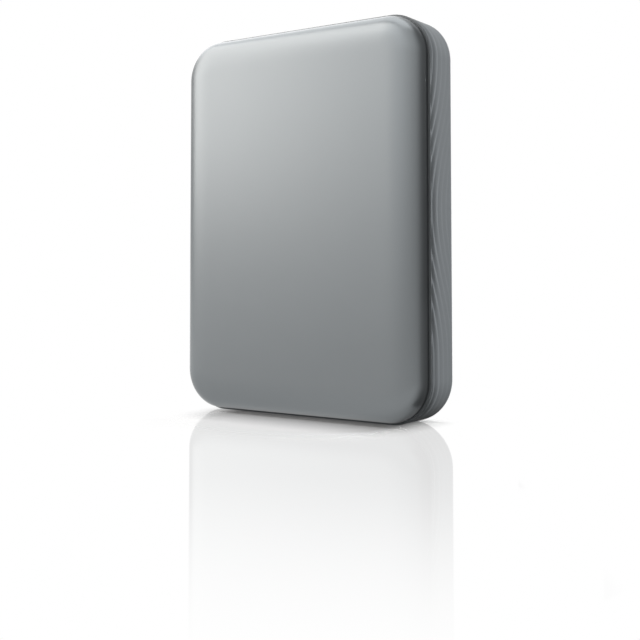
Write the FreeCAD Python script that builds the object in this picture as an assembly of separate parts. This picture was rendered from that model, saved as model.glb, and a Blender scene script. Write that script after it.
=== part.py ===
# Portable solid state drive, standing on its short end: a moulded case in two pieces, with a soft
# pillowed front and a grip band of wave ribs, around a 2.5-inch drive module and its port board.
# Millimetres. X runs across the front, Y from the front to the back and Z up. The origin is the
# middle of the drive's box, at the surface that it stands on.

import FreeCAD, Part
import math
import os

from FreeCAD import Vector

# Drive module, the standard size that the case is built around
module_width = 69.85
module_length = 100.2
module_depth = 7.0

# Room that the case leaves round the module
side_room = 7.575
foot_room = 2.8
rear_room = 1.6
front_room = 8.2

# Case walls and outline
housing_wall = 2.0
floor_wall = 1.8
cover_wall = 2.0
corner_radius = 13.0
cover_depth = 6.4
band_proud = 0.7
roll_wide = 12.0
roll_tight = 4.6
roll_turn = 22.0
inner_bevel_width = 2.6
inner_bevel_depth = 2.6
rim_bevel = 0.35
rear_round = 2.0

# Lip and snap hooks that hold the front cover in the rear housing
lip_wall = 1.2
lip_height = 3.0
lip_root = 1.5
lip_gap = 0.1
hook_width = 7.0
hook_reach = 0.5
hook_flat = 0.4
hook_drop = 1.0
hook_tail = 0.3
hook_root = 0.3
hook_gap = 0.12
side_hooks = 3
side_hook_pitch = 30.0
end_hooks = 2
end_hook_pitch = 37.0

# Wave ribs: V grooves that swing towards the front near the middle of each flat side, run level round
# the corners and grow shallower towards the back
groove_pitch = 2.7
groove_width = 1.5
groove_front_depth = 0.55
groove_back_depth = 0.15
groove_lift = 0.5
side_rise = 11.4
side_level = 3.6
side_lift = 2.8
end_rise = 7.2
end_level = 2.0
end_lift = 0.0
plain_rim = 0.6
plain_tail = 0.3
first_groove = 1.5
wave_points = 9

# Rubber feet on the back, rubber bumpers behind the module's corners, and ribs that press on its front
foot_size = 9.0
foot_taper = 0.4
foot_proud = 0.6
foot_inset = 13.0
bumper_grip = 9.0
bumper_gap = 0.15
press_length = 12.0
press_width = 1.2
press_inset = 15.0
press_gap = 0.1

# Module tray, lid, board and chips
tray_wall = 1.2
tray_floor = 1.0
lid_thickness = 1.0
lid_rim = 0.8
lid_rim_depth = 1.0
lid_gap = 0.1
module_board_thickness = 1.0
module_board_gap = 0.4
rail_height = 1.2
rail_width = 4.0
chip_height = 1.2
flash_width = 14.0
flash_length = 18.0
flash_gap_x = 6.0
flash_gap_z = 4.0
flash_margin = 4.0
flash_rows = 2
controller_size = 15.0
cache_width = 9.0
cache_length = 11.0
logic_gap_x = 5.0
logic_gap_z = 4.5
logic_margin = 6.5
pad_margin = 2.0

# Plug of the module, and the socket that mates with it
plug_offset = -2.0
plug_length = 6.0
plug_clear = 0.3
plug_side = 2.0
plug_gap = 0.1
mouth_side = 2.3
mouth_room = 0.8
mouth_depth = 4.6
signal_tongue = 10.4
power_tongue = 20.6
tongue_spacing = 2.4
tongue_thickness = 1.2
socket_side = 1.0
socket_length = 4.6
socket_height = 3.4

# Bridge board and what it carries
bridge_thickness = 1.2
bridge_low_gap = 1.6
bridge_side_gap = 0.925
rest_width = 3.0
rest_inset = 2.0
bridge_chip_size = 6.0
bridge_chip_height = 0.9
bridge_chip_x = -11.0
coil_size = 3.6
coil_height = 1.8
coil_inset = 9.0
capacitor_width = 0.8
capacitor_length = 1.6
capacitor_height = 0.8
capacitor_pitch = 1.5
capacitor_count = 4
capacitor_x = 7.2

# Port on the top end, with its tongue and contacts
port_x = 0.0
port_width = 8.94
port_height = 3.26
port_length = 7.35
port_clear = 2.45
port_wall = 0.3
port_gap = 0.15
port_sunk = 0.5
port_base_length = 2.0
tongue_plate = 0.7
tongue_edge = 0.345
tongue_sunk = 1.1
contact_count = 12
contact_pitch = 0.5
contact_width = 0.25
contact_thickness = 0.06
contact_short = 1.0
field_margin = 3.5
notch_margin = 0.4

# Activity light on the bridge board, and the clear pipe that brings it out
light_x = 11.0
light_width = 1.8
light_length = 1.6
light_height = 1.6
pipe_radius = 0.8
pipe_gap = 0.08
pipe_flange_radius = 1.5
pipe_flange_length = 0.6
pipe_clear = 0.1

# How far a cutting tool stands clear of the face it starts from, how near two places count as one,
# and a quarter turn in degrees
cut_over = 0.5
near = 0.01
QUARTER = 90.0

# Overall sizes that follow from what the case holds
width = module_width + 2 * (side_room + housing_wall)
body_depth = cover_wall + front_room + module_depth + rear_room + floor_wall
depth = body_depth + foot_proud

# Depths, from the front face to the back
front_y = -depth / 2
seam_y = front_y + cover_depth
back_y = front_y + body_depth
floor_y = back_y - floor_wall
lip_end_y = seam_y + lip_height
hook_y = seam_y + hook_drop
hook_height = lip_height - hook_drop - hook_tail
groove_front_y = seam_y + plain_rim
groove_back_y = back_y - rear_round - plain_tail
module_back_y = floor_y - rear_room
module_front_y = module_back_y - module_depth
tray_front_y = module_front_y + lid_thickness
tray_back_y = module_back_y - tray_floor
board_back_y = tray_back_y - rail_height
board_front_y = board_back_y - module_board_thickness
chip_front_y = board_front_y - chip_height
plug_y = (tray_front_y + tray_back_y) / 2
plug_half_y = (tray_back_y - tray_front_y) / 2 - plug_clear
mouth_half_y = tongue_thickness / 2 + mouth_room
bridge_front_y = plug_y + socket_height / 2
bridge_back_y = bridge_front_y + bridge_thickness
port_y = bridge_front_y - port_height / 2
light_y = bridge_front_y - light_height / 2

# Heights, from the surface that the drive stands on
module_low_z = housing_wall + foot_room
module_high_z = module_low_z + module_length
plug_low_z = module_high_z - plug_length
mouth_z = module_high_z - mouth_depth
flash_pitch_z = flash_length + flash_gap_z
flash_span_z = flash_rows * flash_pitch_z - flash_gap_z
logic_z = plug_low_z - logic_margin - controller_size / 2
flash_low_z = logic_z - controller_size / 2 - logic_gap_z - flash_span_z
module_board_low_z = flash_low_z - flash_margin
socket_low_z = module_high_z + plug_gap
socket_high_z = socket_low_z + socket_length
port_low_z = socket_high_z + port_clear
port_high_z = port_low_z + port_length
tongue_low_z = port_low_z + port_base_length
tongue_high_z = port_high_z - tongue_sunk
height = port_high_z + port_sunk
mid_z = height / 2
inner_high_z = height - housing_wall
bridge_low_z = module_high_z + bridge_low_gap
bridge_high_z = inner_high_z - pipe_flange_length - 2 * pipe_clear
bridge_parts_z = (socket_high_z + bridge_high_z) / 2

# Insets from the case's outline, half widths inside it, and where the feet sit
lip_out = housing_wall + lip_gap
lip_in = lip_out + lip_wall
cover_in = band_proud + cover_wall
tray_half = module_width / 2 - tray_wall
lid_rim_half = tray_half - lid_gap
module_board_half = lid_rim_half - lid_rim - module_board_gap
tongues_half = (signal_tongue + tongue_spacing + power_tongue) / 2
mouth_half = tongues_half + mouth_side
bridge_half = module_width / 2 - bumper_grip - bridge_side_gap
flash_pitch_x = flash_width + flash_gap_x
foot_places = [(sx * (width / 2 - foot_inset), mid_z + sz * (height / 2 - foot_inset))
               for sx, sz in ((-1, -1), (1, -1), (-1, 1), (1, 1))]


def block(x, y, z):
    """A box between pairs of limits along X, Y and Z."""
    size = [abs(high - low) for low, high in (x, y, z)]
    return Part.makeBox(*size, Vector(min(x), min(y), min(z)))


def around(middle, half):
    """The pair of limits at half a size to either side of a middle."""
    return (middle - half, middle + half)


def chip(x, z, size_x, size_z, face_y, thickness):
    """A flat package on the front of a board whose front face is at face_y."""
    return block(around(x, size_x / 2), (face_y - thickness, face_y), around(z, size_z / 2))


def polygon(points):
    """A flat face through points in order."""
    return Part.Face(Part.makePolygon(points + points[:1]))


def merge(shapes):
    """Shapes joined to one solid, with the seams between flush faces removed."""
    return shapes[0].fuse(shapes[1:]).removeSplitter()


def turned(shape, quarters):
    """A copy of a shape, turned about the depth axis by quarter turns in the outline's order."""
    copy = shape.copy()
    copy.rotate(Vector(0, 0, 0), Vector(0, 1, 0), -quarters * QUARTER)
    return copy


def corner_centres():
    """Centres of the outline's corner arcs, in the order that the outline runs."""
    half_x = width / 2 - corner_radius
    half_z = height / 2 - corner_radius
    signs = ((1, 1), (-1, 1), (-1, -1), (1, -1))
    return [Vector(sx * half_x, 0, mid_z + sz * half_z) for sx, sz in signs]


def outline(inset, y):
    """The case's rounded outline, taken in by inset, as a wire at depth y."""
    radius = corner_radius - inset
    centres = corner_centres()

    def rim_point(turn, degrees):
        angle = math.radians(degrees)
        reach = Vector(radius * math.cos(angle), y, radius * math.sin(angle))
        return centres[turn % len(centres)] + reach

    edges = []
    for turn in range(len(centres)):
        start = turn * QUARTER
        arc = [rim_point(turn, start + share * QUARTER) for share in (0, 0.5, 1)]
        edges.append(Part.Arc(*arc).toShape())
        edges.append(Part.LineSegment(arc[-1], rim_point(turn + 1, start + QUARTER)).toShape())
    return Part.Wire(edges)


def slab(inset, y_from, y_to):
    """The case's outline, taken in by inset, as a plain slab between two depths."""
    return Part.Face(outline(inset, y_from)).extrude(Vector(0, y_to - y_from, 0))


def soft_roll(radius, y_front):
    """Edges of the cover's soft roll: a tight arc off the side, then a wide one into the front."""
    turn = math.radians(roll_turn)
    to_side, to_front = Vector(1, 0, 0), Vector(0, -1, 0)
    to_join = Vector(math.sin(turn), -math.cos(turn), 0)
    wide_y = y_front + roll_wide
    tight_centre = Vector(radius - roll_tight, wide_y - (roll_wide - roll_tight) * math.cos(turn), 0)
    wide_centre = tight_centre - to_join * (roll_wide - roll_tight)
    tight_arc = [tight_centre + aim.normalize() * roll_tight for aim in (to_side, to_side + to_join, to_join)]
    wide_arc = [wide_centre + aim.normalize() * roll_wide for aim in (to_join, to_join + to_front, to_front)]
    return [Part.Arc(*tight_arc).toShape(), Part.Arc(*wide_arc).toShape()]


def inner_bevel(radius, y_front):
    """The plain bevel that follows the soft roll inside the cover."""
    start = Vector(radius, y_front + inner_bevel_depth, 0)
    end = Vector(radius - inner_bevel_width, y_front, 0)
    return [Part.LineSegment(start, end).toShape()]


def pillow(inset, y_front, y_base, edge_form):
    """A slab of the outline whose front edge has the form that edge_form draws."""
    radius = corner_radius - inset
    edge = edge_form(radius, y_front)
    start, end = edge[0].firstVertex().Point, edge[-1].lastVertex().Point
    before = Part.makePolygon([Vector(0, y_base, 0), Vector(radius, y_base, 0), start])
    after = Part.makePolygon([end, Vector(0, y_front, 0), Vector(0, y_base, 0)])
    section = Part.Face(Part.Wire(before.Edges + edge + after.Edges))
    corner = section.revolve(Vector(0, 0, 0), Vector(0, 1, 0), -QUARTER)

    centres = corner_centres()
    low, high = centres[2], centres[0]
    pieces = [block((low.x, high.x), (y_front, y_base), (low.z, high.z))]
    for turn, centre in enumerate(centres):
        run = centres[(turn + 1) % len(centres)] - centre
        pieces.append(turned(corner, turn).translated(centre))
        pieces.append(turned(section, turn + 1).translated(centre).extrude(run))
    return merge(pieces)


def sides():
    """Middle, direction, outward normal and straight run of each flat side of the outline."""
    run_z = height - 2 * corner_radius
    run_x = width - 2 * corner_radius
    for sign in (1, -1):
        yield Vector(sign * width / 2, 0, mid_z), Vector(0, 0, 1), Vector(sign, 0, 0), run_z
        yield Vector(0, 0, mid_z + sign * height / 2), Vector(1, 0, 0), Vector(0, 0, sign), run_x


def hook_stations():
    """Middle, direction and outward normal of every snap hook."""
    for middle, along, outward, _ in sides():
        upright = along.z > 0
        count, pitch = (side_hooks, side_hook_pitch) if upright else (end_hooks, end_hook_pitch)
        for index in range(count):
            yield middle + along * ((index - (count - 1) / 2) * pitch), along, outward


def drawn_along(middle, along, outward, section, length):
    """A section of (outward, depth) points, drawn out along a side and centred on its middle."""
    start = middle - along * (length / 2)
    face = polygon([start + outward * out + Vector(0, y, 0) for out, y in section])
    return face.extrude(along * length)


def snap_hook(middle, along, outward):
    """A wedge on the lip that rides over the housing's wall and catches in its pocket."""
    tip = hook_reach - lip_out
    section = [
        (-lip_out - hook_root, hook_y),
        (tip, hook_y),
        (tip, hook_y + hook_flat),
        (-lip_out, hook_y + hook_height),
        (-lip_out - hook_root, hook_y + hook_height),
    ]
    return drawn_along(middle, along, outward, section, hook_width)


def hook_pocket(middle, along, outward):
    """The pocket inside the housing's wall that a snap hook catches in."""
    deep = hook_reach - lip_out + hook_gap
    low, high = hook_y - hook_gap, hook_y + hook_height + hook_gap
    section = [(-lip_out, low), (deep, low), (deep, high), (-lip_out, high)]
    return drawn_along(middle, along, outward, section, hook_width + 2 * hook_gap)


def port_window(margin):
    """The stretch of the top end that takes in the port and the light, with a margin round them."""
    left = port_x - port_width / 2 - margin
    right = light_x + pipe_flange_radius + margin
    return block((left, right), (front_y, back_y), (mid_z, height + cut_over))


def press_ribs():
    """The ribs inside the cover that keep the module down on its bumpers."""
    reach_y = (front_y + cover_wall / 2, module_front_y - press_gap)
    x = module_width / 2 - press_inset
    heights = (module_low_z + press_inset, module_high_z - press_inset)
    return [block(around(sx * x, press_length / 2), reach_y, around(z, press_width / 2))
            for sx in (-1, 1) for z in heights]


def front_cover():
    """The pillowed front shell, with the lip and snap hooks that hold it in the housing."""
    shell = pillow(band_proud, front_y, seam_y, soft_roll)
    hollow = pillow(cover_in, front_y + cover_wall, seam_y, inner_bevel)
    root_y = seam_y - lip_root
    root = slab(band_proud + cover_wall / 2, root_y, seam_y).cut(slab(lip_in, root_y, seam_y))
    lip = slab(lip_out, seam_y, lip_end_y).cut(slab(lip_in, seam_y, lip_end_y))
    hooks = [snap_hook(*station) for station in hook_stations()]
    return merge([shell.cut(hollow), root, lip.cut(port_window(notch_margin))] + hooks + press_ribs())


def groove_lines(rise):
    """Depth of each groove at the corners, for every groove that a side of that rise can show."""
    first = groove_front_y + first_groove
    count = int((groove_back_y + rise - first) / groove_pitch) + 1
    return [first + index * groove_pitch for index in range(count)]


def groove_section(y):
    """The groove's V at depth y, as (outward, depth) points: two above the surface, one in the wall."""
    to_back = (groove_back_y - y) / (groove_back_y - groove_front_y)
    ease = min(max(to_back, 0), 1) ** 2
    deep = groove_back_depth + (groove_front_depth - groove_back_depth) * ease
    half = groove_width / 2 * (1 + groove_lift)
    return [(deep * groove_lift, y - half), (deep * groove_lift, y + half), (-deep, y)]


def wave_strip(middle, along, outward, run, rise, level, lift, y_corner):
    """One groove along a flat side: level near both corners, nearest the front at its lifted middle."""
    stations = []
    for index in range(wave_points):
        reach = (index / (wave_points - 1) - 0.5) * run
        phase = min(abs(reach - lift) / (run / 2 - level), 1) * math.pi
        y = y_corner - rise * (1 + math.cos(phase)) / 2
        place = middle + along * reach
        section = groove_section(y)
        stations.append([place + outward * out + Vector(0, depth_y, 0) for out, depth_y in section])
    lines = []
    for points in zip(*stations):
        curve = Part.BSplineCurve()
        curve.interpolate(Points=list(points), InitialTangent=along, FinalTangent=along)
        lines.append(curve.toShape())
    faces = [Part.makeRuledSurface(line, lines[index - 1]) for index, line in enumerate(lines)]
    faces += [polygon(stations[0]), polygon(stations[-1])]
    shell = Part.makeShell(faces)
    shell.sewShape()
    strip = Part.makeSolid(shell)
    if strip.Volume < 0:
        strip.reverse()
    return strip


def corner_grooves(y_corner):
    """One groove round the four corners, at a level depth."""
    section = [Vector(corner_radius + out, y, 0) for out, y in groove_section(y_corner)]
    ring = polygon(section).revolve(Vector(0, 0, 0), Vector(0, 1, 0), -QUARTER)
    return [turned(ring, turn).translated(centre) for turn, centre in enumerate(corner_centres())]


def wave_grooves():
    """All the grooves of the grip band, kept off its rims and off the field round the port."""
    zone = slab(-cut_over, groove_front_y, groove_back_y)
    field = port_window(field_margin)
    tools = []
    for middle, along, outward, run in sides():
        wave = (side_rise, side_level, side_lift) if along.z > 0 else (end_rise, end_level, end_lift)
        for y_corner in groove_lines(wave[0]):
            strip = wave_strip(middle, along, outward, run, *wave, y_corner)
            tools += strip.common(zone).cut(field).Solids
    for y_corner in groove_lines(0):
        for ring in corner_grooves(y_corner):
            tools += ring.common(zone).Solids
    return tools


def edges_at(shape, y):
    """Edges of a shape that lie wholly at one depth."""
    return [edge for edge in shape.Edges
            if abs(edge.BoundBox.YMin - y) < near and abs(edge.BoundBox.YMax - y) < near]


def rounded_slot(x, y, size_x, size_y, low_z, high_z):
    """A slot with round ends, upright between two heights."""
    end = size_y / 2
    reach = size_x / 2 - end

    def at(sign_x, bulge, sign_y):
        return Vector(x + sign_x * (reach + bulge), y + sign_y * end, low_z)

    right = Part.Arc(at(1, 0, -1), at(1, end, 0), at(1, 0, 1))
    back = Part.LineSegment(at(1, 0, 1), at(-1, 0, 1))
    left = Part.Arc(at(-1, 0, 1), at(-1, end, 0), at(-1, 0, -1))
    front = Part.LineSegment(at(-1, 0, -1), at(1, 0, -1))
    wire = Part.Wire([curve.toShape() for curve in (right, back, left, front)])
    return Part.Face(wire).extrude(Vector(0, 0, high_z - low_z))


def rear_housing():
    """The tub with the grip band: floor, walls, board rests, port opening, pockets and wave ribs."""
    body = slab(0, seam_y, back_y)
    body = body.makeFillet(rear_round, edges_at(body, back_y))
    body = body.makeChamfer(rim_bevel, edges_at(body, seam_y))
    body = body.cut(slab(housing_wall, seam_y, floor_y))
    rest_x = bridge_half - rest_inset - rest_width / 2
    rest_y, rest_z = (bridge_back_y, floor_y), (bridge_low_z, inner_high_z)
    rests = [block(around(sx * rest_x, rest_width / 2), rest_y, rest_z) for sx in (-1, 1)]
    body = merge([body] + rests)

    low, high = inner_high_z - cut_over, height + cut_over
    port = rounded_slot(port_x, port_y, port_width + 2 * port_gap, port_height + 2 * port_gap, low, high)
    pipe = Part.makeCylinder(pipe_radius + pipe_gap, high - low, Vector(light_x, light_y, low))
    pockets = [hook_pocket(*station) for station in hook_stations()]
    return body.cut([port, pipe] + pockets + wave_grooves()).removeSplitter()


def rear_foot(x, z):
    """A square rubber foot, stuck to the back and tapered to its face."""
    wires = []
    for y, half in ((back_y, foot_size / 2), (back_y + foot_proud, foot_size / 2 - foot_taper)):
        turns = ((1, 1), (-1, 1), (-1, -1), (1, -1))
        corners = [Vector(x + sx * half, y, z + sz * half) for sx, sz in turns]
        wires.append(Part.makePolygon(corners + corners[:1]))
    return Part.makeLoft(wires, True, True)


def corner_bumper(sign_x, sign_z):
    """A rubber block that fills one corner of the tub, behind the lip, and grips the module there."""
    room = slab(housing_wall + bumper_gap, lip_end_y + bumper_gap, floor_y)
    reach_x = (sign_x * (module_width / 2 - bumper_grip), sign_x * width / 2)
    reach_z = (module_high_z - bumper_grip, height) if sign_z > 0 else (0, module_low_z + bumper_grip)
    module_z = (module_low_z, module_high_z)
    module = block(around(0, module_width / 2), (module_front_y, module_back_y), module_z)
    return room.common(block(reach_x, (front_y, floor_y), reach_z)).cut(module)


def plug_bay(length):
    """The room that the module's plug takes in its tray, for a length back from the module's end."""
    half = mouth_half + plug_side + plug_gap
    return block(around(plug_offset, half), (module_front_y, plug_y + plug_half_y + plug_gap),
                 (module_high_z - length, module_high_z + cut_over))


def module_tray():
    """The module's metal tray: walls, rails that the board lies on, and the notch for its plug."""
    limits_z = (module_low_z, module_high_z)
    outside = block(around(0, module_width / 2), (tray_front_y, module_back_y), limits_z)
    inside = block(around(0, tray_half), (tray_front_y, tray_back_y),
                   (module_low_z + tray_wall, module_high_z - tray_wall))
    rail_x = module_board_half - rail_width / 2
    rails = [block(around(sx * rail_x, rail_width / 2), (board_back_y, tray_back_y),
                   (module_board_low_z, plug_low_z)) for sx in (-1, 1)]
    return merge([outside.cut(inside)] + rails).cut(plug_bay(plug_length))


def module_lid():
    """The flat lid over the tray, with the rim that locates it inside the tray's walls."""
    lid = block(around(0, module_width / 2), (module_front_y, tray_front_y), (module_low_z, module_high_z))
    low, high = module_low_z + tray_wall + lid_gap, module_high_z - tray_wall - lid_gap
    reach_y = (tray_front_y, tray_front_y + lid_rim_depth)
    rim = block(around(0, lid_rim_half), reach_y, (low, high))
    rim = rim.cut(block(around(0, lid_rim_half - lid_rim), reach_y, (low + lid_rim, high - lid_rim)))
    return merge([lid, rim.cut(plug_bay(plug_length + plug_gap))])


def module_board():
    """The module's circuit board, on the tray's rails and up against the plug."""
    reach_z = (module_board_low_z, plug_low_z)
    return block(around(0, module_board_half), (board_front_y, board_back_y), reach_z)


def flash_chip(column, row):
    """One flash memory package on the module's board."""
    x = (column - 0.5) * flash_pitch_x
    z = flash_low_z + flash_length / 2 + row * flash_pitch_z
    return chip(x, z, flash_width, flash_length, board_front_y, chip_height)


def controller_chip():
    """The module's controller, near the plug end of its board."""
    x = -(logic_gap_x + controller_size) / 2
    return chip(x, logic_z, controller_size, controller_size, board_front_y, chip_height)


def cache_chip():
    """The cache memory beside the controller."""
    x = (logic_gap_x + cache_width) / 2
    return chip(x, logic_z, cache_width, cache_length, board_front_y, chip_height)


def thermal_pad():
    """The soft pad that carries heat from the chips to the lid."""
    half_x = (flash_pitch_x + flash_width) / 2 + pad_margin
    reach_z = (flash_low_z - pad_margin, logic_z + controller_size / 2 + pad_margin)
    return block(around(0, half_x), (tray_front_y, chip_front_y), reach_z)


def tongue_limits():
    """Left and right of the plug's signal tongue and of its power tongue."""
    left, right = around(plug_offset, tongues_half)
    return [(left, left + signal_tongue), (right - power_tongue, right)]


def module_plug():
    """The plug at the module's end: a shroud with a signal tongue and a power tongue in its mouth."""
    shroud = block(around(plug_offset, mouth_half + plug_side), around(plug_y, plug_half_y),
                   (plug_low_z, module_high_z))
    mouth = block(around(plug_offset, mouth_half), around(plug_y, mouth_half_y), (mouth_z, module_high_z))
    tongues = [block(limits, around(plug_y, tongue_thickness / 2), (mouth_z, module_high_z - plug_gap))
               for limits in tongue_limits()]
    return merge([shroud.cut(mouth)] + tongues)


def bridge_socket():
    """The socket on the bridge board that takes the module's plug."""
    nose = block(around(plug_offset, mouth_half - plug_gap), around(plug_y, mouth_half_y - plug_gap),
                 (mouth_z + plug_gap, socket_low_z))
    body = block(around(plug_offset, mouth_half + socket_side), around(plug_y, socket_height / 2),
                 (socket_low_z, socket_high_z))
    slots = [block((left - plug_gap, right + plug_gap), around(plug_y, tongue_thickness / 2 + plug_gap),
                   (mouth_z, module_high_z)) for left, right in tongue_limits()]
    return merge([nose, body]).cut(slots)


def bridge_board():
    """The board between the module and the port, on its two moulded rests."""
    return block(around(0, bridge_half), (bridge_front_y, bridge_back_y), (bridge_low_z, bridge_high_z))


def bridge_chip():
    """The chip that joins the module to the port."""
    size = bridge_chip_size
    return chip(bridge_chip_x, bridge_parts_z, size, size, bridge_front_y, bridge_chip_height)


def bridge_coil():
    """The power coil beside the light."""
    return chip(bridge_half - coil_inset, bridge_parts_z, coil_size, coil_size, bridge_front_y, coil_height)


def bridge_capacitors():
    """The row of capacitors beside the port."""
    row = []
    for index in range(capacitor_count):
        z = bridge_parts_z + (index - (capacitor_count - 1) / 2) * capacitor_pitch
        row.append(chip(capacitor_x, z, capacitor_length, capacitor_width, bridge_front_y, capacitor_height))
    return Part.makeCompound(row)


def port_shell():
    """The drawn metal shell of the port, a tube with round ends."""
    outside = rounded_slot(port_x, port_y, port_width, port_height, port_low_z, port_high_z)
    return outside.cut(port_hollow(port_high_z))


def port_hollow(high_z):
    """The space inside the port's shell, up to a height."""
    taken = 2 * port_wall
    return rounded_slot(port_x, port_y, port_width - taken, port_height - taken, port_low_z, high_z)


def port_tongue():
    """The moulded base that closes the shell, with the tongue that carries the contacts."""
    half = contact_count * contact_pitch / 2 + tongue_edge
    tongue = block(around(port_x, half), around(port_y, tongue_plate / 2), (tongue_low_z, tongue_high_z))
    return merge([port_hollow(tongue_low_z), tongue])


def port_contacts():
    """The two rows of contacts on the tongue."""
    contacts = []
    for sign in (-1, 1):
        face_y = port_y + sign * tongue_plate / 2
        for index in range(contact_count):
            x = port_x + (index - (contact_count - 1) / 2) * contact_pitch
            contacts.append(block(around(x, contact_width / 2), (face_y, face_y + sign * contact_thickness),
                                  (tongue_low_z, tongue_high_z - contact_short)))
    return Part.makeCompound(contacts)


def activity_light():
    """The light on the bridge board's edge."""
    z = bridge_high_z - light_length / 2
    return chip(light_x, z, light_width, light_length, bridge_front_y, light_height)


def light_pipe():
    """The clear pipe from the light to the top end, with the flange that keeps it in."""
    start = Vector(light_x, light_y, bridge_high_z + pipe_clear)
    flange = Part.makeCylinder(pipe_flange_radius, pipe_flange_length, start)
    rod = Part.makeCylinder(pipe_radius, height - start.z, start)
    return merge([flange, rod])


def nodes():
    """Every piece of the drive, by name."""
    made = {builder.__name__: builder() for builder in (
        front_cover, rear_housing, module_tray, module_lid, module_board, controller_chip, cache_chip,
        thermal_pad, module_plug, bridge_socket, bridge_board, bridge_chip, bridge_coil, bridge_capacitors,
        port_shell, port_tongue, port_contacts, activity_light, light_pipe)}
    for number, place in enumerate(foot_places, start=1):
        made[f"rear_foot_{number}"] = rear_foot(*place)
    for number, corner in enumerate(((-1, -1), (1, -1), (-1, 1), (1, 1)), start=1):
        made[f"corner_bumper_{number}"] = corner_bumper(*corner)
    for row in range(flash_rows):
        for column in (0, 1):
            made[f"flash_chip_{2 * row + column + 1}"] = flash_chip(column, row)
    return made


os.makedirs("parts", exist_ok=True)
for name, shape in nodes().items():
    shape.exportStep(os.path.join("parts", name + ".step"))
    print(f"{name}: {len(shape.Solids)} solid, {shape.Volume:.1f} mm3, valid {shape.isValid()}")
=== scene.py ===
"""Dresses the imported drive: smooth case pieces, finishes, a soft studio and the camera, in metres."""
import logging
import math
from abc import ABC, abstractmethod
from dataclasses import asdict, dataclass
from enum import Enum
from typing import Any, Iterable, Mapping, Sequence

import bmesh
import bpy
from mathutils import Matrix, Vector


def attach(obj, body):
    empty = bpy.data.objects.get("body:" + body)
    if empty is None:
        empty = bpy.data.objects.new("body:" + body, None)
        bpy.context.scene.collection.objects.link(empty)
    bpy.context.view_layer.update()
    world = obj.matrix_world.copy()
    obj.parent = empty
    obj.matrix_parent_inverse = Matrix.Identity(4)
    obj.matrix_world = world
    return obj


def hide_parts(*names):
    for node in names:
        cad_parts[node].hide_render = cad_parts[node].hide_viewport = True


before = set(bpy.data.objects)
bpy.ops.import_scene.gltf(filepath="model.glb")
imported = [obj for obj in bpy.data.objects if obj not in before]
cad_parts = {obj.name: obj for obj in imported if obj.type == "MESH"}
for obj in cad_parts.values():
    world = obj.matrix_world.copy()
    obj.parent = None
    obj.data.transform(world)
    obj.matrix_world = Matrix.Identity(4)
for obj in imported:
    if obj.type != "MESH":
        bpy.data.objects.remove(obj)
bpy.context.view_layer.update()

LOG = logging.getLogger("drive")
MM = 0.001

Colour = tuple[float, float, float]
Pair = tuple[float, float]
Ring = list[Vector]

WHITE: Colour = (1.0, 1.0, 1.0)
WARM: Colour = (1.0, 0.955, 0.912)
GRAIN_DETAIL = 3.0
PATCH_SHARE = 0.6


class Slot(Enum):
    """The record's material slots."""

    COVER = "cover_shell"
    BAND = "grip_band"
    FOOT = "foot_rubber"
    BUMPER = "bumper_rubber"
    MODULE = "module_metal"
    BOARD = "board_laminate"
    CHIP = "chip_epoxy"
    PAD = "pad_silicone"
    CONNECTOR = "connector_plastic"
    COIL = "coil_ferrite"
    CAPACITOR = "capacitor_ceramic"
    PORT = "port_steel"
    CONTACT = "contact_metal"
    LIGHT = "light_body"
    PIPE = "pipe_clear"


class Value:
    """A number socket that takes part in Python arithmetic: each operation adds a Math node."""

    def __init__(self, wiring: "Wiring", socket: bpy.types.NodeSocket) -> None:
        """Keeps the socket and the wiring that it belongs to."""
        self.wiring = wiring
        self.socket = socket

    def _math(self, operation: str, *values: Any) -> "Value":
        """Adds one Math node.

        Args:
            operation: The Math node's operation.
            values: Sockets or numbers, in the node's order.

        Returns:
            The node's result.
        """
        node = self.wiring.add("ShaderNodeMath", {"operation": operation}, dict(enumerate(values)))
        return self.wiring.out(node, 0)

    def __add__(self, other: Any) -> "Value":
        """Adds."""
        return self._math("ADD", self, other)

    def __radd__(self, other: Any) -> "Value":
        """Adds, from the right."""
        return self._math("ADD", other, self)

    def __sub__(self, other: Any) -> "Value":
        """Subtracts."""
        return self._math("SUBTRACT", self, other)

    def __rsub__(self, other: Any) -> "Value":
        """Subtracts this from a number."""
        return self._math("SUBTRACT", other, self)

    def __mul__(self, other: Any) -> "Value":
        """Multiplies."""
        return self._math("MULTIPLY", self, other)

    def __rmul__(self, other: Any) -> "Value":
        """Multiplies, from the right."""
        return self._math("MULTIPLY", other, self)

    def __truediv__(self, other: Any) -> "Value":
        """Divides."""
        return self._math("DIVIDE", self, other)

    def __rtruediv__(self, other: Any) -> "Value":
        """Divides a number by this."""
        return self._math("DIVIDE", other, self)

    def __pow__(self, other: Any) -> "Value":
        """Raises to a power."""
        return self._math("POWER", self, other)

    def __mod__(self, other: Any) -> "Value":
        """Gives the remainder, from 0 up to the divisor."""
        return self._math("FLOORED_MODULO", self, other)

    def __abs__(self) -> "Value":
        """Drops the sign."""
        return self._math("ABSOLUTE", self)

    def cos(self) -> "Value":
        """Gives the cosine."""
        return self._math("COSINE", self)

    def angle(self, other: Any) -> "Value":
        """Gives the angle whose tangent is this over another, in radians."""
        return self._math("ARCTAN2", self, other)

    def least(self, other: Any) -> "Value":
        """Gives the smaller of two."""
        return self._math("MINIMUM", self, other)

    def most(self, other: Any) -> "Value":
        """Gives the larger of two."""
        return self._math("MAXIMUM", self, other)

    def ease(self, start: Any, end: Any) -> "Value":
        """Goes smoothly from 0 at start to 1 at end."""
        share = ((self - start) / (end - start)).most(0.0).least(1.0)
        return share * share * (3.0 - 2.0 * share)


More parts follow.
